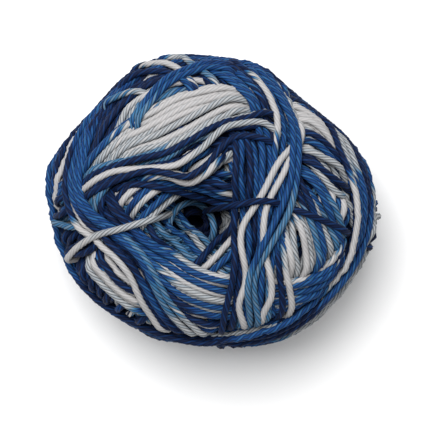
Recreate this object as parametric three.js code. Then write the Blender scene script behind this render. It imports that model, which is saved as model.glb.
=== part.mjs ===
// A centre-pull ball of cotton yarn, wound on a machine and lying on one face.
//
// The ball is one soft solid, a little longer than wide and flatter than either, with an eye in
// each face where the winder's spindle was. The yarn runs over it in broad windings, each a dozen
// strands or so side by side, that cross the faces beside the eyes and go on round the rim. The
// solid has that wound form and the main windings as raised bands. Single strands are too fine.
//
// Millimetres, +Z up along the eyes. X runs the ball's long way. The ball rests on Z = 0.
import * as THREE from 'three';
import { mergeVertices } from 'three/addons/utils/BufferGeometryUtils.js';

// Driving sizes.
const ballLength = 94;
const ballThickness = 58;

// The outermost windings stand this much proud of the plain wound form, in the mean.
const windingDepth = 1.4;

// The outline seen from above is a mean circle with a few waves round it.
// waves: how many times it repeats in a turn; swell: mm out and in; turn: degrees to a crest.
const outlineMean = 0.4665 * ballLength - windingDepth;
const outlineWaves = [
  { waves: 1, swell: 1.7, turn: -143 },
  { waves: 2, swell: 3.1, turn: -23 },
  { waves: 3, swell: 1.25, turn: -62 },
  { waves: 5, swell: 0.4, turn: -54 },
  { waves: 6, swell: 0.5, turn: 22 },
  { waves: 8, swell: 0.6, turn: -113 },
];

// The lowest part of the under face is pressed flat by the ball's own weight.
const pressedIn = 1.4;

// The faces are domes with full shoulders, and each has its eye a little off the middle.
const halfThickness = ballThickness / 2 - windingDepth + pressedIn / 2;
const shoulderPower = 2.6;
const eyeOffset = { x: -5.1, y: -6.7 };
const eyeDepth = 24;
const eyeRadius = 8.6;
const eyeSteepness = 2.4;

// The main windings. Each is a rounded band round the whole ball.
// heading: degrees, the way it runs over the upper face; rim: mm from the middle, to the left of
// that way, where it meets the rim; face: the same where it passes the eye; wide: mm; rise: mm.
const windings = [
  { name: 'underlying wraps, upper right', heading: -52, rim: 15, face: 27, wide: 17, rise: 1.1 },
  { name: 'underlying wraps, lower right', heading: -72, rim: 10, face: 24, wide: 14, rise: 1.1 },
  { name: 'wraps over the right shoulder', heading: 92, rim: -6, face: -38, wide: 11, rise: 1.4 },
  { name: 'wraps left of the eye', heading: 55, rim: -2, face: 19, wide: 13, rise: 1.1 },
  { name: 'lower sweep', heading: -40, rim: -14, face: -27, wide: 16, rise: 1.7 },
  { name: 'left shoulder wraps', heading: -81, rim: 0.3, face: -36, wide: 11, rise: 1.9 },
  { name: 'white fan over the eye', heading: 4, rim: 7.4, face: 24, wide: 19, rise: 2.2 },
  { name: 'blue wraps down the right', heading: -80, rim: 3, face: 25, wide: 11, rise: 1.7 },
  { name: 'navy wraps beside the eye', heading: 92, rim: 2, face: -12, wide: 18, rise: 2.3 },
];
const bandRoundness = 1.15;
const bandSpread = 0.6;

// How finely the surface is cut up.
const sectors = 96;
const rings = 30;

const degrees = Math.PI / 180;

function outlineRadius(angle) {
  let radius = outlineMean;
  for (const { waves, swell, turn } of outlineWaves) {
    radius += swell * Math.cos(waves * angle - turn * degrees);
  }
  return radius;
}

// How far out a point seen from above lies: 0 in the middle, 1 on the outline.
function reach(x, y) {
  return Math.hypot(x, y) / outlineRadius(Math.atan2(y, x));
}

// Height of a face above or below the ball's middle plane. side is 1 above and -1 below.
function faceHeight(x, y, side) {
  const dome = halfThickness * Math.sqrt(Math.max(0, 1 - reach(x, y) ** shoulderPower));
  const fromEye = Math.hypot(x - side * eyeOffset.x, y - side * eyeOffset.y);
  const pit = eyeDepth * Math.exp(-((fromEye / eyeRadius) ** eyeSteepness));
  return side * (dome - pit);
}

// The same point on a unit sphere, on which a winding is a flat cut near the middle.
function onSphere(x, y, side) {
  const out = Math.min(1, reach(x, y));
  const angle = Math.atan2(y, x);
  const up = side * Math.sqrt(1 - out * out);
  return new THREE.Vector3(out * Math.cos(angle), out * Math.sin(angle), up);
}

// How much the windings raise the surface at a point. Where they cross they bed into each other.
function raisedBy(x, y, side) {
  const point = onSphere(x, y, side);
  const lifts = windings.map(({ heading, rim, face, wide, rise }) => {
    const left = new THREE.Vector3(-Math.sin(heading * degrees), Math.cos(heading * degrees), 0);
    const rimShare = rim / outlineMean;
    const faceShare = face / outlineMean;
    const lean = (faceShare - rimShare) / Math.sqrt(1 - faceShare * faceShare);
    const off = (point.dot(left) - rimShare - lean * point.z) / Math.hypot(1, lean);
    const across = Math.min(1, (Math.abs(off) * outlineMean) / (bandSpread * wide));
    return rise * (1 - across * across) ** bandRoundness;
  });
  const fromEye = Math.hypot(x - side * eyeOffset.x, y - side * eyeOffset.y);
  const clearOfEye = THREE.MathUtils.smoothstep(fromEye, 0.6 * eyeRadius, 1.5 * eyeRadius);
  return Math.hypot(...lifts) * clearOfEye;
}

// A bare surface point on the grid: ring 0 is the bottom of the eye, and the last is the rim.
function barePoint(ring, sector, side) {
  const angle = (sector / sectors) * 2 * Math.PI;
  const out = Math.sin((ring / rings) * Math.PI / 2);
  const radius = outlineRadius(angle);
  const x = out * radius * Math.cos(angle) + (1 - out) * side * eyeOffset.x;
  const y = out * radius * Math.sin(angle) + (1 - out) * side * eyeOffset.y;
  return new THREE.Vector3(x, y, faceHeight(x, y, side));
}

// The way out of the dome at a point, taken from the dome without its eye.
function outward(point, side) {
  const share = reach(point.x, point.y);
  const flat = new THREE.Vector3(point.x, point.y, 0);
  const slope = share ** (shoulderPower - 1);
  const steep = Math.sqrt(Math.max(0, 1 - share ** shoulderPower));
  flat.setLength(slope * halfThickness / outlineMean * shoulderPower / 2 + 1e-6);
  return flat.setZ(side * steep).normalize();
}

function surfacePoint(ring, sector, side) {
  const point = barePoint(ring, sector, side);
  const lift = raisedBy(point.x, point.y, side);
  return point.addScaledVector(outward(point, side), lift);
}

// The ball's skin: upper face from its eye out to the rim, then under face back in to its eye.
function ballGeometry() {
  const rows = [];
  for (let ring = 1; ring <= rings; ring += 1) rows.push([ring, 1]);
  for (let ring = rings - 1; ring >= 1; ring -= 1) rows.push([ring, -1]);

  const points = [surfacePoint(0, 0, 1)];
  for (const [ring, side] of rows) {
    for (let sector = 0; sector < sectors; sector += 1) {
      points.push(surfacePoint(ring, sector, side));
    }
  }
  points.push(surfacePoint(0, 0, -1));

  const at = (row, sector) => 1 + row * sectors + (sector % sectors);
  const faces = [];
  for (let sector = 0; sector < sectors; sector += 1) {
    faces.push(0, at(0, sector), at(0, sector + 1));
    for (let row = 0; row + 1 < rows.length; row += 1) {
      const [a, b] = [at(row, sector), at(row, sector + 1)];
      const [c, d] = [at(row + 1, sector), at(row + 1, sector + 1)];
      faces.push(a, c, b, b, c, d);
    }
    faces.push(points.length - 1, at(rows.length - 1, sector + 1), at(rows.length - 1, sector));
  }

  const geometry = new THREE.BufferGeometry().setFromPoints(points);
  geometry.setIndex(faces);
  return mergeVertices(geometry);
}

// Sets the ball on Z = 0 with its lowest part pressed flat, over the middle of its outline.
function settle(geometry) {
  geometry.computeBoundingBox();
  const box = geometry.boundingBox;
  const middle = box.getCenter(new THREE.Vector3());
  const floor = box.min.z + pressedIn;
  const position = geometry.getAttribute('position');
  for (let i = 0; i < position.count; i += 1) {
    position.setX(i, position.getX(i) - middle.x);
    position.setY(i, position.getY(i) - middle.y);
    position.setZ(i, Math.max(0, position.getZ(i) - floor));
  }
  geometry.computeVertexNormals();
  return geometry;
}

const blueYarn = new THREE.MeshStandardMaterial({ color: 0x2f5a8c, roughness: 0.85, metalness: 0 });

const ball = new THREE.Mesh(settle(ballGeometry()), blueYarn);
ball.name = 'yarn_ball';

const model = new THREE.Group();
model.add(ball);

export default model;
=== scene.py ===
import math

import bpy
import numpy as np
from mathutils.kdtree import KDTree
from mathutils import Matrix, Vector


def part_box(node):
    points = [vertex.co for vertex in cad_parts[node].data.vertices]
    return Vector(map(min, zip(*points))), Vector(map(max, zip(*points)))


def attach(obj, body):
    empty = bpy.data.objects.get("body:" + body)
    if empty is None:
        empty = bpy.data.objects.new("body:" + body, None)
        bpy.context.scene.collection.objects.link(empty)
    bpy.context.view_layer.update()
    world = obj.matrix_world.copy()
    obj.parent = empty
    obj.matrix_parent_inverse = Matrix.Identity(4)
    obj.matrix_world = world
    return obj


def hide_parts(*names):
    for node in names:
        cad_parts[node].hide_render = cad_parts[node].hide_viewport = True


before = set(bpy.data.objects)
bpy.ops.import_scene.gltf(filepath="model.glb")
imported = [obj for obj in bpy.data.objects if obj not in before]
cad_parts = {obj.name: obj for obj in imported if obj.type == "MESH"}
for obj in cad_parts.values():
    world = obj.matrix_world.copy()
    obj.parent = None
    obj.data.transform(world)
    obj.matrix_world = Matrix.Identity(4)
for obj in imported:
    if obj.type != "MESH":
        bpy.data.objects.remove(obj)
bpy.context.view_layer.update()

bpy.ops.object.select_all(action="DESELECT")

# The camera
# It looks straight down on the ball's upper eye from arm's length. Sizes are in millimetres, and
# places in the photograph are in its pixels. The ball's middle lies up and to the left of its own.
metres = 0.001
solid_low, solid_high = [np.array(corner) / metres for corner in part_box("yarn_ball")]
ball_length = solid_high[0] - solid_low[0]
photo_side = 438
photo_ball_length = 328
photo_ball_middle = np.array([212.0, 200.5])
arms_length = 610
sensor_width = 36
pixel = ball_length / photo_ball_length
middle_height = (solid_low[2] + solid_high[2]) / 2
camera_height = middle_height + arms_length
camera_place = np.array([
    (photo_side / 2 - photo_ball_middle[0]) * pixel,
    (photo_ball_middle[1] - photo_side / 2) * pixel,
])
camera_data = bpy.data.cameras.new("camera")
camera_data.sensor_width = sensor_width
camera_data.lens = sensor_width * (camera_height - middle_height) / (photo_side * pixel)
camera = bpy.data.objects.new("camera", camera_data)
camera.location = (camera_place[0] * metres, camera_place[1] * metres, camera_height * metres)
bpy.context.scene.collection.objects.link(camera)
bpy.context.scene.camera = camera

# The ball's form
# A flattened round with full shoulders, wound round a spindle. Its outline is the solid's. A place
# on it is a unit vector, whose level parts are shares of the outline seen from above.
shoulder_power = 2.6
dome_height = 28.6
outline_marks = 72
mark_spread = math.radians(4)
outline_waves = 9
sight_rounds = 6
widest_share = 0.9995

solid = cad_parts["yarn_ball"]
solid_points = np.array([solid.matrix_world @ vertex.co for vertex in solid.data.vertices]) / metres
solid_angles = np.arctan2(solid_points[:, 1], solid_points[:, 0])
solid_reaches = np.hypot(solid_points[:, 0], solid_points[:, 1])
outline = []
for mark in range(outline_marks):
    turned = solid_angles - 2 * math.pi * mark / outline_marks
    outline.append(solid_reaches[np.cos(turned) > math.cos(mark_spread)].max())
outline_series = np.fft.rfft(outline) / outline_marks


def outline_reach(angle):
    reach = np.full_like(angle, outline_series[0].real)
    for wave in range(1, outline_waves):
        reach += 2 * (outline_series[wave] * np.exp(1j * wave * angle)).real
    return reach


def skin(ways):
    """The points of the ball's skin, and the ways out of it, at an array of unit vectors."""
    reach = outline_reach(np.arctan2(ways[:, 1], ways[:, 0]))
    share = np.hypot(ways[:, 0], ways[:, 1]).clip(1e-6, 1)
    side = np.where(ways[:, 2] < 0, -1.0, 1.0)
    rise = side * dome_height * np.sqrt((1 - share ** shoulder_power).clip(0))
    points = np.stack([ways[:, 0] * reach, ways[:, 1] * reach, middle_height + rise], 1)
    slope = shoulder_power * share ** (shoulder_power - 2) / reach
    out = np.stack([slope * ways[:, 0], slope * ways[:, 1], 2 * rise / dome_height ** 2], 1)
    return points, out / np.linalg.norm(out, axis=1)[:, None]


def seen_at(pixels):
    """The places on the upper face that the camera sees at pixels of the photograph."""
    flat = (pixels - photo_side / 2) * [pixel, -pixel]
    height = np.full(len(pixels), middle_height + dome_height)
    for _ in range(sight_rounds):
        nearer = (camera_height - height) / (camera_height - middle_height)
        place = camera_place + flat * nearer[:, None]
        angle = np.arctan2(place[:, 1], place[:, 0])
        share = np.hypot(place[:, 0], place[:, 1]) / outline_reach(angle)
        share = share.clip(0, widest_share)
        height = middle_height + dome_height * np.sqrt(1 - share ** shoulder_power)
    return np.stack([share * np.cos(angle), share * np.sin(angle), np.sqrt(1 - share ** 2)], 1)


# The turns underneath
# Mostly navy turns of the same cotton, wound close past the spindle and each a little further
# round than the last. All the others lie on them.
yarn_width = 2.0
lay_step = 1.15
bed_width = 1.7
bed_rise = 1.2
taut_spans = (1, 2, 3, 5, 8, 12, 16)
taut_rounds = 6
taut_sag = 0.02
first_height = -7.5
end_dive = 14.0
end_reach = 9.0
eye_place = np.array([-4.6, -6.6])
eye_depth = 24.0
eye_radius = 8.6
eye_steepness = 2.4
map_count = 40000
coarse_count = 5000
skin_area = 19500
rounds_per_reach = 1.35
smooth_reach = 2.0
under_turns = 48
under_dyes = ("NBNN", "BNNB", "NNBN", "NMNN")
any_dye = "WMLBNMB"
spindle_rise = 0.98
nearest_pass = 7
pass_spread = 9
circle_steps = 240
settle_every = 12
shuffle = np.random.default_rng(11)
turns = []


def golden_swing(number):
    """The swing of a turn by its number. Each is a golden angle on, so none falls on another."""
    return number * math.pi * (3 - math.sqrt(5))


def spread_over_ball(count):
    """Unit vectors spread evenly over a ball on a spiral."""
    number = np.arange(count) + 0.5
    up = 1 - 2 * number / count
    swing = golden_swing(number)
    level = np.sqrt(1 - up * up)
    return np.stack([level * np.cos(swing), level * np.sin(swing), up], 1)


def tree_of(points):
    tree = KDTree(len(points))
    for number, point in enumerate(points):
        tree.insert(point, number)
    tree.balance()
    return tree


def nearest_seven(tree, points):
    return np.array([[number for _, number, _ in tree.find_n(point, 7)] for point in points])


# How high the winding stands is kept as a map over the skin, fine for laying, coarse for settling.
map_points, _ = skin(spread_over_ball(map_count))
map_tree = tree_of(map_points)
map_near = nearest_seven(map_tree, map_points)
map_pitch = math.sqrt(skin_area / map_count)
coarse_points, _ = skin(spread_over_ball(coarse_count))
coarse_tree = tree_of(coarse_points)
coarse_near = nearest_seven(coarse_tree, coarse_points)
coarse_pitch = math.sqrt(skin_area / coarse_count)
coarse_of = np.array([coarse_tree.find(point)[1] for point in map_points])

map_side = np.where(map_points[:, 2] > middle_height, 1.0, -1.0)
from_eye = np.linalg.norm(map_points[:, :2] - map_side[:, None] * eye_place, axis=1)
funnel = -eye_depth * np.exp(-(from_eye / eye_radius) ** eye_steepness)
map_height = first_height + funnel
coarse_share = np.bincount(coarse_of, minlength=coarse_count)


def averaged(field, near, reach, pitch):
    """A field with each place's value spread over its neighbours, out to about reach."""
    for _ in range(round(rounds_per_reach * (reach / pitch) ** 2)):
        field = field[near].mean(1)
    return field


def settle(keep=0.45, broad_reach=9.0, close_reach=3.5):
    """Presses the yarn inwards until what was wound last lies level with the skin again, which
    dips into a funnel at each eye."""
    proud = map_height - funnel
    close = averaged(proud, map_near, close_reach, map_pitch)
    held = np.bincount(coarse_of, proud, coarse_count) / coarse_share
    broad = averaged(held, coarse_near, broad_reach, coarse_pitch)[coarse_of]
    broad = averaged(broad, map_near, smooth_reach, map_pitch)
    pressed = broad + (1 - keep) * (close - broad)
    map_height[:] -= pressed
    for turn in turns:
        turn["height"] -= pressed[turn["cell"]]


def lay(bundle, ways, closed, dye, behind=any_dye):
    """Lays one turn along unit vectors. It rests on what lies under it on the map, runs straight
    over hollows because it is taut, and then stands on the map itself."""
    ways = ways / np.linalg.norm(ways, axis=1)[:, None]
    points, _ = skin(ways)
    run = np.concatenate([[0], np.cumsum(np.linalg.norm(np.diff(points, axis=0), axis=1))])
    length = run[-1]
    count = round(length / lay_step)
    where = np.arange(count) * length / count
    ways = np.stack([np.interp(where, run, ways[:, axis]) for axis in range(3)], 1)
    points, out = skin(ways / np.linalg.norm(ways, axis=1)[:, None])
    beds = [map_tree.find_range(point, bed_width) for point in points]
    cells = np.array([min(bed, key=lambda found: found[2])[1] for bed in beds])
    height = map_height[cells]
    for _ in range(taut_rounds):
        for span in taut_spans:
            places = points + height[:, None] * out
            chord = (np.roll(places, span, 0) + np.roll(places, -span, 0)) / 2
            lifted = ((chord - points) * out).sum(1) - taut_sag * span
            if not closed:
                lifted[:span] = first_height
                lifted[-span:] = first_height
            height = np.maximum(height, lifted)
    height = np.roll(height, 1) / 4 + height / 2 + np.roll(height, -1) / 4
    if not closed:
        from_end = np.minimum(where, length - where)
        height -= end_dive * (1 - from_end / end_reach).clip(0) ** 2
    for bed, level in zip(beds, height):
        for _, number, apart in bed:
            raised = level + bed_rise * math.sqrt(max(0.0, 1 - (apart / bed_width) ** 2))
            map_height[number] = max(map_height[number], raised)
    turns.append({
        "bundle": bundle, "points": points, "out": out, "cell": cells, "height": height,
        "run": where, "length": length, "closed": closed, "dye": dye, "behind": behind,
    })


mean_reach = outline_series[0].real
spindle = np.array([*eye_place / mean_reach, spindle_rise])
spindle /= np.linalg.norm(spindle)
level_way = np.cross(spindle, [0, 1, 0])
level_way /= np.linalg.norm(level_way)
for number in range(under_turns):
    swing = golden_swing(number)
    ahead = math.cos(swing) * level_way + math.sin(swing) * np.cross(spindle, level_way)
    clear = nearest_pass + pass_spread * number / under_turns + shuffle.normal(0, 1)
    clear /= mean_reach
    pole = np.cross(spindle, ahead) * math.cos(clear) - spindle * math.sin(clear)
    angle = np.linspace(0, 2 * math.pi, circle_steps + 1)[:, None]
    circle = np.cos(angle) * ahead + np.sin(angle) * np.cross(pole, ahead)
    lay("turns_underneath", circle, True, under_dyes[number % len(under_dyes)])
    if (number + 1) % settle_every == 0:
        settle()

# The coils down the eye
# The ball's first turns, drawn tight round the spindle. They ring the walls of the eye, one
# under another, navy and nearly black in its shadow. Their dye K is navy painted darker, which is
# painted shade for that shadow.
coil_radii = (7.4, 6.6, 5.8, 5.0, 4.2)
coil_lean = 1.2
coil_shift = 0.6
shift_swing = 2.4
coil_steps = 60

for number, radius in enumerate(coil_radii):
    swing = 2 * math.pi * np.arange(coil_steps + 1)[:, None] / coil_steps
    shift = np.array([math.cos(shift_swing * number), math.sin(shift_swing * number)])
    middle = eye_place * coil_lean + coil_shift * shift
    ring = middle + radius * np.concatenate([np.cos(swing), np.sin(swing)], 1)
    share = ring / outline_reach(np.arctan2(ring[:, 1], ring[:, 0]))[:, None]
    up = np.sqrt(1 - (share ** 2).sum(1))
    # The coils get the K dye: navy with the eye's shadow painted in.
    lay("coils_down_eye", np.column_stack([share, up]), True, "K", "K")

# Deep turns round the eye
# Bundles of earlier turns, side by side, that still show down in the eye and between the later
# ones. Like all the bundles, they go on over the rim and across the lower face.
turn_waves = np.arange(18)
turn_steps = 480
stiffness = 3e-6
rim_stiffness = 60
near_hold = 0.1
far_hold = 0.06
least_hold = 1e-6
stray = 0.006
over_rim_step = math.radians(14)
steps_per_place = 40


def whole_turn(front):
    """A closed turn close to the places in front. It is a circle through them with waves along
    it, passes the far eye as it passes the near one, and bends little where it rounds the rim."""
    pole = np.linalg.svd(front)[2][2]
    start = front[0] - pole * front[0].dot(pole)
    start /= np.linalg.norm(start)
    ahead = np.cross(pole, start)
    if front[len(front) // 2].dot(ahead) < 0:
        pole, ahead = -pole, -ahead
    turned = np.unwrap(np.arctan2(front @ ahead, front @ start))
    lean = np.arcsin((front @ pole).clip(-1, 1))
    where = turned[0] + np.linspace(0, 2 * math.pi, turn_steps + 1)

    def waves_at(angle, share=1.0):
        swing = np.outer(angle, turn_waves)
        return np.concatenate([share * np.cos(swing), (share * np.sin(swing))[:, 1:]], 1)

    known = waves_at(np.concatenate([turned, turned + math.pi]))
    leans = np.concatenate([lean, -lean])
    weight = np.concatenate([near_hold + front[:, 2] ** 2, far_hold * front[:, 2] ** 4])
    up = np.cos(where) * start[2] + np.sin(where) * ahead[2]
    held = stiffness * (1 + rim_stiffness * (1 - up.clip(0, 1) ** 2) ** 4)
    bends = waves_at(where, turn_waves ** 2)
    waves = np.linalg.solve(
        known.T @ (known * weight[:, None]) + bends.T @ (bends * held[:, None]) / len(where)
        + least_hold * np.eye(known.shape[1]),
        known.T @ (weight * leans),
    )
    lean = (waves_at(where) @ waves)[:, None]
    where = where[:, None]
    return np.cos(lean) * (np.cos(where) * start + np.sin(where) * ahead) + np.sin(lean) * pole


def along_curve(knots, values, where):
    """A smooth curve through values at rising knots, read at the places in where."""
    slopes = np.gradient(values, knots, axis=0)
    number = np.clip(np.searchsorted(knots, where, side="right") - 1, 0, len(knots) - 2)
    gap = (knots[number + 1] - knots[number])[:, None]
    t = (where - knots[number])[:, None] / gap
    return (
        (2 * t ** 3 - 3 * t ** 2 + 1) * values[number]
        + (t ** 3 - 2 * t ** 2 + t) * gap * slopes[number]
        + (3 * t ** 2 - 2 * t ** 3) * values[number + 1]
        + (t ** 3 - t ** 2) * gap * slopes[number + 1]
    )


def part_turn(front, past_rim):
    """An open stretch through the places in front, and on by some steps over the rim."""
    places = list(front)
    for _ in range(past_rim):
        ahead = places[-1] - places[-2]
        following = places[-1] + ahead * over_rim_step / np.linalg.norm(ahead)
        places.append(following / np.linalg.norm(following))
    places = np.array(places)
    knots = np.concatenate([[0], np.cumsum(np.linalg.norm(np.diff(places, axis=0), axis=1))])
    return along_curve(knots, places, np.linspace(0, knots[-1], steps_per_place * len(places)))


def wind(bundle, dyes, way, tucked=False, past_rim=0, behind=any_dye):
    """Winds a bundle. way is a list of the places that it is seen to pass, with its width there,
    in pixels. dyes has a word for each turn, from the left-hand one, whose letters name the
    yarn's colour along the stretch that shows: White, Marl, Light blue, mid Blue or Navy. behind
    has the colours that the rest of the turn is drawn from. A tucked bundle is a short stretch
    whose ends go under, and past_rim is how many steps it first goes on over the rim."""
    way = np.array(way, float)
    middle, wide = seen_at(way[:, :2]), way[:, 2] * pixel / mean_reach
    left = np.cross(middle, np.gradient(middle, axis=0))
    left /= np.linalg.norm(left, axis=1)[:, None]
    words = dyes.split()
    for number in [*range(0, len(words), 2), *range(1, len(words), 2)]:
        aside = 0 * wide
        if len(words) > 1:
            aside = wide * (0.5 - number / (len(words) - 1))
            aside += shuffle.normal(0, stray, len(way))
        front = middle + left * aside[:, None]
        front /= np.linalg.norm(front, axis=1)[:, None]
        if tucked:
            lay(bundle, part_turn(front, past_rim), False, words[number])
        else:
            lay(bundle, whole_turn(front), True, words[number], behind)
    settle()


# way columns: x, y, width
wind("deep_turns_below_eye", "NLLLBBBN NBLLLBNB NNLBBBNN NBLLLLBB NNNBLLNN NBBLLBBB", [
    (58, 165, 36),
    (92, 202, 36),
    (128, 234, 34),
    (165, 256, 32),
    (205, 268, 30),
    (250, 268, 30),
    (310, 255, 34),
    (366, 236, 36),
])
wind("deep_turns_left_of_eye", "NNNBLBBN NNNLMLLN NNNBBLLN NNNLLLLN NNNNBLLN", [
    (112, 84, 26),
    (130, 150, 26),
    (147, 200, 28),
    (168, 236, 30),
    (198, 264, 32),
    (240, 294, 34),
    (312, 317, 36),
])
wind("deep_turns_right_of_eye", "NNWNBN NNNNNN NNNNLN NNWNBN", [
    (222, 50, 24),
    (238, 110, 20),
    (243, 160, 16),
    (244, 205, 14),
    (246, 250, 16),
    (240, 346, 24),
])
wind("turns_under_right_of_eye", "NNNBBBNN NNNWWWWN NNNNNBBN", [
    (299, 84, 20),
    (268, 150, 16),
    (248, 205, 14),
    (235, 238, 14),
    (216, 260, 16),
    (190, 284, 20),
    (125, 318, 22),
])

# The loop in the eye
# A single light turn that has slipped down into the mouth of the eye and rings it.
wind("loop_in_eye", "LLLLLLLL", [
    (164, 246, 1),
    (163, 226, 1),
    (170, 211, 1),
    (180, 204, 1),
    (192, 202, 1),
    (203, 208, 1),
    (211, 219, 1),
    (214, 236, 1),
    (208, 256, 1),
], tucked=True)

# Turns left of the eye
# They run up to the right and pass over the spindle's left side, light and dark by turns.
wind("left_fan", """
    NMMMMNNN NNNNBNNN NWWWNNNN NNNNNNNN NWWWWNNN NNBBNNNN NMWWWNNN NBBNNNNN NMMMMNNN
""", [
    (93, 290, 40),
    (98, 245, 50),
    (114, 212, 56),
    (142, 182, 56),
    (190, 150, 56),
    (255, 120, 50),
    (331, 111, 44),
])

# Turns over the top of the eye
# Short stretches of light yarn that show between the fan and the eye's dark mouth.
wind("turns_above_eye", "NNNNNNNN NNNWWWNN NBBNNNNN NNNWWWWN", [
    (66, 188, 22),
    (115, 176, 20),
    (155, 178, 18),
    (190, 184, 18),
    (222, 194, 20),
    (290, 210, 24),
    (358, 216, 26),
])
wind("loops_above_eye", "BMWWWWN NMWWWNN", [
    (120, 186, 7),
    (150, 174, 7),
    (168, 173, 7),
    (185, 179, 7),
    (200, 174, 7),
    (212, 162, 7),
    (240, 140, 8),
], tucked=True)

# Turns on the right shoulder
# Older turns that bow out round the right-hand rim, under all the others there.
wind("right_shoulder", """
    NNBBMWMBBN NNMBBBBMNN BBMNNNNBBN NBBMWWWWBN NNBBBBBBNN NNBWWWWBNN NNNMMMMWNN NNNWWWMMNN
""", [
    (212, 50, 40),
    (271, 68, 44),
    (310, 102, 48),
    (336, 150, 50),
    (344, 192, 52),
    (338, 236, 50),
    (316, 286, 48),
    (280, 324, 44),
    (212, 351, 40),
])

# Turns down the upper and lower right
# Two fans of turns that come out from under the others and run down to the right-hand rim.
wind("upper_right_fan", """
    NNNNBLBB NNNNBBBB NNNBBLBN NNNNMMMM NNNNMMWM NNNNWWWW NNNNNNNN
""", [
    (82, 126, 50),
    (140, 116, 50),
    (200, 116, 48),
    (256, 142, 40),
    (288, 170, 38),
    (308, 193, 38),
    (326, 226, 42),
    (342, 277, 46),
])
wind("lower_right_fan", """
    NNNNBBBB NNNNLBBN NNNNMMMM NNNNWWWW NNNNMMMM NNNNWWWM NNNNMMMM NNNNMMMM
""", [
    (150, 66, 50),
    (215, 98, 46),
    (262, 140, 42),
    (286, 190, 40),
    (296, 225, 46),
    (302, 255, 50),
    (300, 290, 50),
    (274, 336, 50),
])

# Turns round the bottom
# Three bundles that sag below the eye, one outside another, and reach both side rims.
wind("lower_left_turns", """
    NBWWWWBN NNNNNNNN NWWWWWBM BNNNNNNN NNWWWWBN BWWNBBMM NWWWWWBB MMMNMMMM
""", [
    (68, 150, 44),
    (76, 205, 46),
    (92, 252, 48),
    (122, 290, 48),
    (170, 318, 46),
    (235, 332, 44),
    (305, 312, 44),
    (356, 252, 44),
])
wind("lower_sweep", """
    NNBMWWBWWW NNBBBBBNMM NNBWWWBNNB NNBBBBBNBB NNMWWWBNWW NNBMMBBNBB NMMMMMMNLL
    NNBBBBBBMM NBLMMMBBWM NNNNBBBNNN
""", [
    (62, 180, 40),
    (116, 232, 34),
    (150, 264, 34),
    (185, 288, 48),
    (230, 303, 56),
    (265, 309, 56),
    (302, 301, 52),
    (342, 278, 46),
    (370, 238, 40),
])
wind("bottom_rim", "WNNMBBBMMM NNBBNMMWWM WWNBBMMWMM MNNBMMMMMM", [
    (50, 175, 24),
    (62, 245, 24),
    (95, 302, 24),
    (140, 330, 24),
    (190, 341, 24),
    (245, 340, 22),
    (290, 327, 24),
    (340, 293, 24),
    (374, 228, 24),
])

# Turns round the upper left
# Mostly navy turns that arch over the upper left shoulder, with a few light ones among them.
wind("top_left_arcs", "NNNNNNNNN NBBWWWWNN NNNBBMMNN NNNNNNNNN NNLLLMMNN", [
    (64, 215, 28),
    (71, 150, 30),
    (95, 112, 32),
    (125, 83, 34),
    (160, 70, 32),
    (195, 70, 30),
    (240, 88, 28),
    (300, 135, 30),
    (356, 188, 30),
])
wind("upper_left_fan", """
    NNNNNNNNNN NNNNNBLNBN NNNMWBBBBN NNMWWBBBBN NNMLBBBBBB NNBLBBBBBB NNBBBBBNBN NNBBBBBBBN
""", [
    (70, 238, 46),
    (84, 190, 44),
    (104, 145, 46),
    (122, 115, 50),
    (155, 88, 52),
    (200, 76, 50),
    (250, 84, 46),
    (310, 117, 46),
    (356, 165, 46),
])

# The band beside the eye
# Navy turns that run straight across the ball, close by the eye on its right.
wind("band_beside_eye", """
    NNNNNBBBNN NNNNNNNNBB BBNBBNNNNN NNNNNBBBLL NNBBBBNNNN NNNNNNNNNN
""", [
    (210, 52, 44),
    (236, 92, 42),
    (252, 140, 40),
    (254, 180, 34),
    (253, 205, 32),
    (253, 240, 34),
    (250, 285, 34),
    (238, 346, 38),
])

# The white fan
# The broad light bundle over the top of the eye, white in the middle and marl at its ends.
wind("white_fan", """
    BBBWWWWBNMMM BBWWWWWWWNWW LMWWWWWWWWWW LMWWWWWWWBBB MMMWWWWWWNWW MMMMMMWWWNNN
    MMWWWWWWMMMM LMMMMMMMMNNN LLMMMMMMMMMM LLLLMMLMMMMB
""", [
    (64, 205, 50),
    (88, 178, 42),
    (114, 150, 54),
    (160, 128, 62),
    (205, 106, 58),
    (250, 96, 46),
    (290, 108, 50),
    (330, 133, 54),
    (364, 186, 50),
])

# The top bundle's inner turns
# Blue turns that cross the fan's right end and run down beside the band.
wind("top_bundle_inner", "NNNBBBWWWN BBNNNBNNNN BBBBBBMMMM BBBBBBNNNM", [
    (194, 50, 30),
    (230, 67, 30),
    (258, 94, 28),
    (272, 128, 26),
    (276, 165, 24),
    (274, 200, 22),
    (274, 240, 24),
    (276, 280, 28),
    (258, 342, 32),
])

# The fan's lower edge
# The last turns of the fan. They cross the band and curl down towards the eye in between.
wind("fan_lower_blue", "LLLMMMMMMMMMM", [
    (62, 196, 8),
    (85, 173, 8),
    (120, 160, 8),
    (165, 146, 8),
    (200, 129, 8),
    (225, 118, 8),
    (250, 113, 8),
    (283, 112, 8),
    (325, 140, 10),
    (366, 198, 10),
])
wind("fan_lower_navy", "NNNNNNNNNN NNNNNNBNNN", [
    (60, 202, 10),
    (92, 180, 10),
    (130, 165, 10),
    (160, 158, 10),
    (190, 146, 10),
    (215, 130, 10),
    (250, 119, 10),
    (290, 122, 10),
    (330, 148, 12),
    (366, 194, 12),
])
wind("fan_edge", "BWWWWWMMMMMMMMBBN", [
    (58, 212, 10),
    (80, 188, 9),
    (97, 178, 9),
    (122, 169, 9),
    (145, 168, 9),
    (165, 166, 9),
    (185, 160, 9),
    (200, 150, 9),
    (211, 138, 9),
    (226, 127, 9),
    (245, 121, 9),
    (262, 121, 9),
    (278, 128, 9),
    (297, 141, 10),
    (332, 160, 12),
    (364, 192, 12),
])
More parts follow.
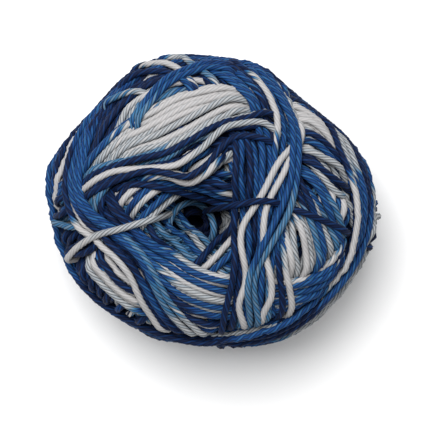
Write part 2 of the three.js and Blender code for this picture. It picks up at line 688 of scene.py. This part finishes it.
wind("navy_under_fan", "NNNNNNNNNNNNN", [
    (60, 214, 10),
    (82, 196, 9),
    (102, 187, 9),
    (122, 177, 9),
    (142, 172, 9),
    (160, 171, 9),
    (178, 176, 9),
    (196, 172, 9),
    (214, 156, 9),
    (236, 136, 9),
    (270, 140, 9),
    (310, 160, 10),
    (364, 194, 12),
])

# The left sweep
# Blue turns that come over the upper left, pass the fan's left end and sweep along the bottom.
wind("left_sweep", """
    NNNBBBLLMM BBNBBBBLMB NNBBBBNNNN NNBBBNNBNN BBNNWWNNNN NNBBNNWWWWWM
""", [
    (200, 48, 24),
    (148, 64, 24),
    (106, 98, 24),
    (76, 148, 23),
    (69, 186, 23),
    (84, 221, 25),
    (118, 248, 28),
    (148, 292, 32),
    (212, 346, 36),
])

# The top bundle's outer turns
# The last blue turns over the top. They run down between the band and the lower right.
wind("top_bundle_outer", "BBBBBBLLNN BBBBBBBBBM NWWBBBBBMM", [
    (232, 52, 24),
    (262, 74, 24),
    (281, 104, 20),
    (287, 140, 18),
    (285, 180, 16),
    (277, 220, 16),
    (268, 260, 16),
    (262, 300, 18),
    (232, 346, 20),
])

# The white pair
# Two white turns that slant down to the band side by side, and part below it.
wind("white_pair", "NMWWWWWWWWWW NMWWWWWWWWWW", [
    (262, 62, 8),
    (288, 94, 8),
    (301, 124, 8),
    (292, 150, 8),
    (280, 172, 8),
    (268, 195, 9),
    (260, 212, 13),
    (253, 235, 19),
    (254, 252, 23),
    (258, 270, 23),
    (259, 287, 24),
    (253, 312, 24),
    (240, 345, 25),
])

# The last strands
# A navy strand comes out of the eye and crosses to the right-hand rim, under a light blue pair
# from the top. The last strand leaves the eye to the left and goes under at the rim.
wind("strand_across", "NNNNNNNNNN", [
    (202, 214, 1),
    (214, 209, 1),
    (232, 206, 1),
    (265, 201, 1),
    (300, 211, 1),
    (340, 228, 1),
    (366, 242, 1),
], tucked=True, past_rim=7)
wind("light_pair", "BBBBLLLLMM BBBBBBLLMM", [
    (244, 54, 7),
    (276, 84, 7),
    (293, 116, 7),
    (297, 142, 7),
    (296, 165, 7),
    (288, 205, 7),
    (273, 236, 7),
    (258, 266, 7),
    (252, 300, 7),
    (238, 345, 8),
])
wind("crossing_strand", "MMMMWWWW", [
    (174, 212, 1),
    (160, 217, 1),
    (140, 223, 1),
    (120, 229, 1),
    (95, 236, 1),
    (76, 248, 1),
    (66, 272, 1),
], tucked=True)

# The turns along the rims
# Four bundles run round the ball along its rims, each tilted to show on one side of the upper
# face. They are wound late, and hold down all the turns that cross there.
pressed_keep = 0.2

wind("left_rim", "NWWWBNNN BNNBNBBN NNBBNNBB NNBBBBNN NNNNNNNN", [
    (170, 52, 22),
    (120, 74, 22),
    (77, 119, 22),
    (54, 168, 22),
    (50, 220, 22),
    (67, 275, 22),
    (108, 319, 22),
    (170, 344, 22),
], behind="NB")
wind("right_rim", "MMMMMMBB MMBBBMBB BBBBBBBB MMBBMMMM BBNNNBBB NNWWBBNN", [
    (294, 84, 26),
    (326, 112, 26),
    (350, 152, 27),
    (364, 196, 27),
    (363, 235, 27),
    (344, 284, 27),
    (306, 318, 26),
], behind="NB")
wind("lower_rim", "NNBMMMMM MBBMMMMM BNBMMMMM NNBBMMMM", [
    (60, 264, 20),
    (94, 304, 20),
    (141, 332, 20),
    (196, 346, 20),
    (250, 345, 20),
    (302, 329, 20),
    (349, 292, 20),
], behind="NB")
wind("upper_rim", "NNNNBBMW NNBBNNBB NBBNNNNB", [
    (90, 102, 16),
    (133, 68, 16),
    (190, 51, 16),
    (240, 55, 16),
    (292, 83, 16),
    (335, 118, 16),
    (363, 158, 16),
], behind="NB")
settle(keep=pressed_keep)

# The arcs on the upper left
# Four single turns come up through the navy ones there and go under again, and a blue pair comes
# over them down to the fan.
wind("arcs_upper_left", "NNWWWWNN", [
    (112, 84, 1),
    (130, 70, 1),
    (148, 62, 1),
    (164, 61, 1),
    (177, 65, 1),
    (187, 74, 1),
    (196, 86, 1),
    (204, 102, 1),
], tucked=True)
wind("arcs_upper_left", "NMMLLMN", [
    (146, 66, 1),
    (160, 57, 1),
    (174, 55, 1),
    (190, 60, 1),
    (204, 69, 1),
    (216, 80, 1),
    (228, 96, 1),
], tucked=True)
wind("arcs_upper_left", "NNNNNBBN", [
    (104, 104, 1),
    (118, 86, 1),
    (134, 75, 1),
    (150, 69, 1),
    (167, 69, 1),
    (181, 76, 1),
    (192, 90, 1),
    (198, 106, 1),
], tucked=True)
wind("arcs_upper_left", "NLLMMN", [
    (88, 124, 1),
    (100, 108, 1),
    (114, 97, 1),
    (130, 91, 1),
    (146, 90, 1),
    (162, 94, 1),
], tucked=True)
wind("blue_pair", "NBBBBBLLN NNBBBBBLN", [
    (248, 82, 7),
    (230, 66, 7),
    (210, 64, 7),
    (190, 69, 7),
    (170, 79, 7),
    (154, 93, 7),
    (142, 109, 7),
    (131, 125, 7),
    (123, 143, 6),
], tucked=True)

# The yarn
# Six plies of soft cotton twisted to the right, dyed in runs from white through marl to navy,
# with painted shade darkening the grooves between the plies.
# Every turn gets its real body, one piece a bundle, except where later turns bury it.
plies = 6
twist_length = 11.0
ply_top = yarn_width / 2
ply_groove = 0.8 * ply_top
pressed_flat = 0.94
end_point = 0.3
low_rings = 4
buried_under = 3.8
rim_level = -0.2
face_rise = 4.0
least_run = 4
dye_shades = {
    "W": (0.0, 0.04),
    "M": (0.13, 0.2),
    "L": (0.44, 0.54),
    "B": (0.68, 0.82),
    "N": (0.92, 1.0),
    # K is navy painted darker still, as painted shade for the coils down in the eye's shadow.
    "K": (1.0, 1.1),
}
shade_stray = 0.015
dye_fade = 4.0
ply_shift = 4.0
runs_behind = 6
dye_colours = (
    (0.0, (0.42, 0.408, 0.408, 1)),
    (0.15, (0.36, 0.375, 0.39, 1)),
    (0.32, (0.17, 0.225, 0.28, 1)),
    (0.53, (0.035, 0.135, 0.27, 1)),
    (0.76, (0.006, 0.05, 0.19, 1)),
    (1.0, (0.0015, 0.0065, 0.033, 1)),
)
uneven_dye = 0.12
fibre_spacing = (6.0, 0.7, 1.0)
fibre_height = 0.00015
# Painted shade in the grooves between the plies: the width of the dark line, the dye shades over
# which it deepens, and how dark it gets.
groove_shade_edges = (0.22, 0.42)
groove_shade_dyes = (0.03, 0.16)
groove_shade_strength = (0.2, 0.72)

yarn = bpy.data.materials.new("plied_cotton")
yarn.use_nodes = True
nodes, links = yarn.node_tree.nodes, yarn.node_tree.links
shader = nodes["Principled BSDF"]
shader.inputs["Roughness"].default_value = 0.7
shader.inputs["Specular IOR Level"].default_value = 0.14
shader.inputs["Sheen Weight"].default_value = 0.02
shader.inputs["Sheen Roughness"].default_value = 0.4

dyed = nodes.new("ShaderNodeAttribute")
dyed.attribute_name = "dye"
laid = nodes.new("ShaderNodeUVMap")
laid.uv_map = "ply"
stretch = nodes.new("ShaderNodeMapping")
stretch.inputs["Scale"].default_value = fibre_spacing
links.new(laid.outputs["UV"], stretch.inputs["Vector"])
fibres = nodes.new("ShaderNodeTexNoise")
fibres.inputs["Scale"].default_value = 1.0
fibres.inputs["Detail"].default_value = 3.0
links.new(stretch.outputs["Vector"], fibres.inputs["Vector"])

uneven = nodes.new("ShaderNodeMapRange")
uneven.inputs["To Min"].default_value = -uneven_dye
uneven.inputs["To Max"].default_value = uneven_dye
links.new(fibres.outputs["Fac"], uneven.inputs["Value"])
shade = nodes.new("ShaderNodeMath")
shade.operation = "ADD"
links.new(dyed.outputs["Fac"], shade.inputs[0])
links.new(uneven.outputs["Result"], shade.inputs[1])

dye_range = nodes.new("ShaderNodeValToRGB")
ramp = dye_range.color_ramp
ramp.elements[0].position, ramp.elements[0].color = dye_colours[0]
ramp.elements[1].position, ramp.elements[1].color = dye_colours[-1]
for position, colour in dye_colours[1:-1]:
    ramp.elements.new(position).color = colour
links.new(shade.outputs[0], dye_range.inputs["Fac"])

# The grooves between the plies are darkened in the colour. This is painted shade, faint on white
# and strong on marl and the blues. On marl it also stands for the dark lines of its bluer plies.
across_ply = nodes.new("ShaderNodeSeparateXYZ")
links.new(laid.outputs["UV"], across_ply.inputs["Vector"])
from_top = nodes.new("ShaderNodeMath")
from_top.operation = "PINGPONG"
from_top.inputs[1].default_value = 0.5
links.new(across_ply.outputs["X"], from_top.inputs[0])
groove_shade_mask = nodes.new("ShaderNodeMapRange")
groove_shade_mask.inputs["From Min"].default_value = groove_shade_edges[0]
groove_shade_mask.inputs["From Max"].default_value = groove_shade_edges[1]
links.new(from_top.outputs[0], groove_shade_mask.inputs["Value"])
groove_shade_amount = nodes.new("ShaderNodeMapRange")
groove_shade_amount.inputs["From Min"].default_value = groove_shade_dyes[0]
groove_shade_amount.inputs["From Max"].default_value = groove_shade_dyes[1]
groove_shade_amount.inputs["To Min"].default_value = groove_shade_strength[0]
groove_shade_amount.inputs["To Max"].default_value = groove_shade_strength[1]
links.new(dyed.outputs["Fac"], groove_shade_amount.inputs["Value"])
painted_groove_shade = nodes.new("ShaderNodeMath")
painted_groove_shade.operation = "MULTIPLY"
links.new(groove_shade_mask.outputs["Result"], painted_groove_shade.inputs[0])
links.new(groove_shade_amount.outputs["Result"], painted_groove_shade.inputs[1])
groove_shade_factor = nodes.new("ShaderNodeMath")
groove_shade_factor.operation = "SUBTRACT"
groove_shade_factor.inputs[0].default_value = 1.0
links.new(painted_groove_shade.outputs[0], groove_shade_factor.inputs[1])
shadowed = nodes.new("ShaderNodeMix")
shadowed.data_type = "RGBA"
shadowed.blend_type = "MULTIPLY"
shadowed.inputs["Factor"].default_value = 1.0
links.new(dye_range.outputs["Color"], shadowed.inputs["A"])
links.new(groove_shade_factor.outputs[0], shadowed.inputs["B"])
links.new(shadowed.outputs["Result"], shader.inputs["Base Color"])

raised = nodes.new("ShaderNodeBump")
raised.inputs["Strength"].default_value = 0.4
raised.inputs["Distance"].default_value = fibre_height
links.new(fibres.outputs["Fac"], raised.inputs["Height"])
links.new(raised.outputs["Normal"], shader.inputs["Normal"])


def ply_shades(turn):
    """The shade of each ply at each step of a turn."""
    word = turn["dye"]
    shown_length = turn["length"] / 2 if turn["closed"] else turn["length"]
    starts = list(np.arange(len(word)) * shown_length / len(word))
    if turn["closed"]:
        behind = "".join(shuffle.choice(list(turn["behind"]), runs_behind)) + word[0]
        starts += list(shown_length * (1 + np.arange(len(behind)) / len(behind)))
        word += behind
    starts = np.array(starts)
    shades = np.empty((len(turn["run"]), plies))
    for ply in range(plies):
        shade = np.array([dye_shades[letter][ply % 2] for letter in word])
        shade += shuffle.normal(0, shade_stray, len(word))
        place = turn["run"] + shuffle.uniform(-ply_shift, ply_shift)
        number = np.searchsorted(starts, place, side="right") - 1
        number = number.clip(0, len(word) - 1)
        before = (number - 1).clip(0)
        blend = ((place - starts[number]) / dye_fade).clip(0, 1)
        shades[:, ply] = shade[before] + (shade[number] - shade[before]) * blend
    return shades


def stretches(shown, closed):
    """Lists of the steps of a turn that show, each in one run."""
    if shown.all():
        return [np.arange(len(shown))]
    first = int(np.argmin(shown)) if closed else 0
    runs, run = [], []
    for step in (*range(first, len(shown)), *range(first)):
        if shown[step]:
            run.append(step)
        elif run:
            runs.append(np.array(run))
            run = []
    if run:
        runs.append(np.array(run))
    return [run for run in runs if len(run) >= least_run]


def spin(bundle):
    """Makes a piece of the yarn of a bundle's turns, with the plies as its lengthwise lines."""
    corners = np.arange(2 * plies)
    ply_of_face = (corners + 1) // 2 % plies
    points, faces, shades, laid_at = [], [], [], []
    for turn in turns:
        if turn["bundle"] != bundle:
            continue
        centre = turn["points"] + turn["height"][:, None] * turn["out"]
        centre[:, 2] = centre[:, 2].clip(ply_top)
        if turn["closed"]:
            ahead = np.roll(centre, -1, 0) - np.roll(centre, 1, 0)
        else:
            ahead = np.gradient(centre, axis=0)
        ahead /= np.linalg.norm(ahead, axis=1)[:, None]
        across = np.cross(ahead, turn["out"])
        across /= np.linalg.norm(across, axis=1)[:, None]
        out = np.cross(across, ahead)
        twists = round(turn["length"] / twist_length)
        swing = np.add.outer(
            -2 * math.pi * twists * turn["run"] / turn["length"],
            2 * math.pi * corners / len(corners),
        )
        radius = np.where(corners % 2 == 0, ply_top, ply_groove)
        flat = (radius * pressed_flat * np.cos(swing))[:, :, None] * out[:, None]
        wide = (radius * np.sin(swing))[:, :, None] * across[:, None]
        rings = centre[:, None] + flat + wide
        shade = ply_shades(turn)[:, ply_of_face]
        step_length = turn["length"] / len(centre)

        for steps in stretches(turn["shown"], turn["closed"]):
            whole = len(steps) == len(centre) and turn["closed"]
            first = len(points)
            points.extend(rings[steps].reshape(-1, 3).tolist())
            for row, step in enumerate(steps if whole else steps[:-1]):
                following = (row + 1) % len(steps)
                here, there = first + row * len(corners), first + following * len(corners)
                low = turn["run"][step]
                high = low + step_length
                for corner, ply_shade, next_shade in zip(
                    corners.tolist(), shade[step].tolist(), shade[steps[following]].tolist()
                ):
                    other = (corner + 1) % len(corners)
                    faces.append((here + corner, here + other, there + other, there + corner))
                    shades.extend((ply_shade, ply_shade, next_shade, next_shade))
                    near, far = corner / 2, (corner + 1) / 2
                    laid_at.extend((near, low, far, low, far, high, near, high))
            if whole:
                continue
            for row, way in ((0, -1), (len(steps) - 1, 1)):
                step = steps[row]
                points.append((centre[step] + way * end_point * ahead[step]).tolist())
                edge = first + row * len(corners)
                for corner in corners.tolist():
                    pair = [edge + corner, edge + (corner + 1) % len(corners)]
                    faces.append((len(points) - 1, *pair[::way]))
                    shades.extend([shade[step][corner]] * 3)
                    laid_at.extend([corner / 2, turn["run"][step]] * 3)

    mesh = bpy.data.meshes.new(bundle)
    mesh.from_pydata((np.array(points) * metres).tolist(), [], faces)
    mesh.attributes.new("dye", "FLOAT", "CORNER").data.foreach_set("value", shades)
    mesh.uv_layers.new(name="ply").data.foreach_set("uv", laid_at)
    mesh.polygons.foreach_set("use_smooth", [True] * len(faces))
    mesh.materials.append(yarn)
    piece = bpy.data.objects.new(bundle, mesh)
    bpy.context.scene.collection.objects.link(piece)
    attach(piece, "root")
    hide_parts("yarn_ball")


# No turn bulges out at the rim, and one shows only where it isn't far below the lowest beside it.
map_low = map_height
for _ in range(low_rings):
    map_low = map_low[map_near].min(1)
for turn in turns:
    highest = rim_level + face_rise * abs(turn["out"][:, 2])
    turn["height"] = np.minimum(turn["height"], highest)
    turn["shown"] = turn["height"] > map_low[turn["cell"]] - buried_under
for bundle in dict.fromkeys(turn["bundle"] for turn in turns):
    spin(bundle)

# The pressed wad inside
# The rest of the yarn, packed too tightly to tell its turns apart. It only closes the gaps
# between the turns that show. Its colour is painted shade, as dark as the bottom of a gap in navy
# yarn.
wad_under = 3.4

bpy.ops.mesh.primitive_ico_sphere_add(subdivisions=6, radius=1)
wad = bpy.context.object
wad.name = wad.data.name = "pressed_wad"
ways = np.array([vertex.co for vertex in wad.data.vertices])
wad_points, wad_out = skin(ways / np.linalg.norm(ways, axis=1)[:, None])
wad_cells = [map_tree.find(point)[1] for point in wad_points]
wad_height = averaged(map_low, map_near, smooth_reach, map_pitch) - wad_under
wad_points += wad_height[wad_cells][:, None] * wad_out
wad_points[:, 2] = wad_points[:, 2].clip(2 * yarn_width)
wad.data.vertices.foreach_set("co", (wad_points * metres).ravel())
wad.data.polygons.foreach_set("use_smooth", [True] * len(wad.data.polygons))

wadding_painted_shade = bpy.data.materials.new("pressed_wadding_painted_shade")
wadding_painted_shade.use_nodes = True
nodes, links = wadding_painted_shade.node_tree.nodes, wadding_painted_shade.node_tree.links
shader = nodes["Principled BSDF"]
shader.inputs["Roughness"].default_value = 0.85
shader.inputs["Specular IOR Level"].default_value = 0.1
placed = nodes.new("ShaderNodeTexCoord")
tangle = nodes.new("ShaderNodeTexNoise")
tangle.inputs["Scale"].default_value = 700
links.new(placed.outputs["Object"], tangle.inputs["Vector"])
# Near black, darker than navy yarn: painted shade for the bottoms of the gaps between the turns.
painted_gap_shade = nodes.new("ShaderNodeValToRGB")
painted_gap_shade.color_ramp.elements[0].color = (0.001, 0.003, 0.012, 1)
painted_gap_shade.color_ramp.elements[1].color = (0.004, 0.014, 0.05, 1)
links.new(tangle.outputs["Fac"], painted_gap_shade.inputs["Fac"])
links.new(painted_gap_shade.outputs["Color"], shader.inputs["Base Color"])
matted = nodes.new("ShaderNodeBump")
matted.inputs["Distance"].default_value = 0.0004
links.new(tangle.outputs["Fac"], matted.inputs["Height"])
links.new(matted.outputs["Normal"], shader.inputs["Normal"])
wad.data.materials.append(wadding_painted_shade)
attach(wad, "root")
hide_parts("yarn_ball")

# The floor and the light
# A plain white table under a large soft lamp, with light from all round.
bpy.ops.mesh.primitive_plane_add(size=4, location=(0, 0, 0))
floor = bpy.context.object
floor.name = "floor"
floor_paint = bpy.data.materials.new("white_table")
floor_paint.use_nodes = True
floor_shader = floor_paint.node_tree.nodes["Principled BSDF"]
floor_shader.inputs["Base Color"].default_value = (0.95, 0.95, 0.95, 1)
floor_shader.inputs["Roughness"].default_value = 0.9
floor.data.materials.append(floor_paint)

lamp_data = bpy.data.lights.new("soft_lamp", "AREA")
lamp_data.size = 0.5
lamp_data.energy = 8
lamp = bpy.data.objects.new("soft_lamp", lamp_data)
lamp.location = (-0.12, 0.25, 0.75)
lamp.rotation_euler = (-0.32, -0.16, 0)
bpy.context.scene.collection.objects.link(lamp)

world = bpy.data.worlds.new("room")
world.use_nodes = True
world.node_tree.nodes["Background"].inputs["Color"].default_value = (1, 1, 1, 1)
world.node_tree.nodes["Background"].inputs["Strength"].default_value = 0.42
bpy.context.scene.world = world
bpy.context.scene.view_settings.view_transform = "Standard"
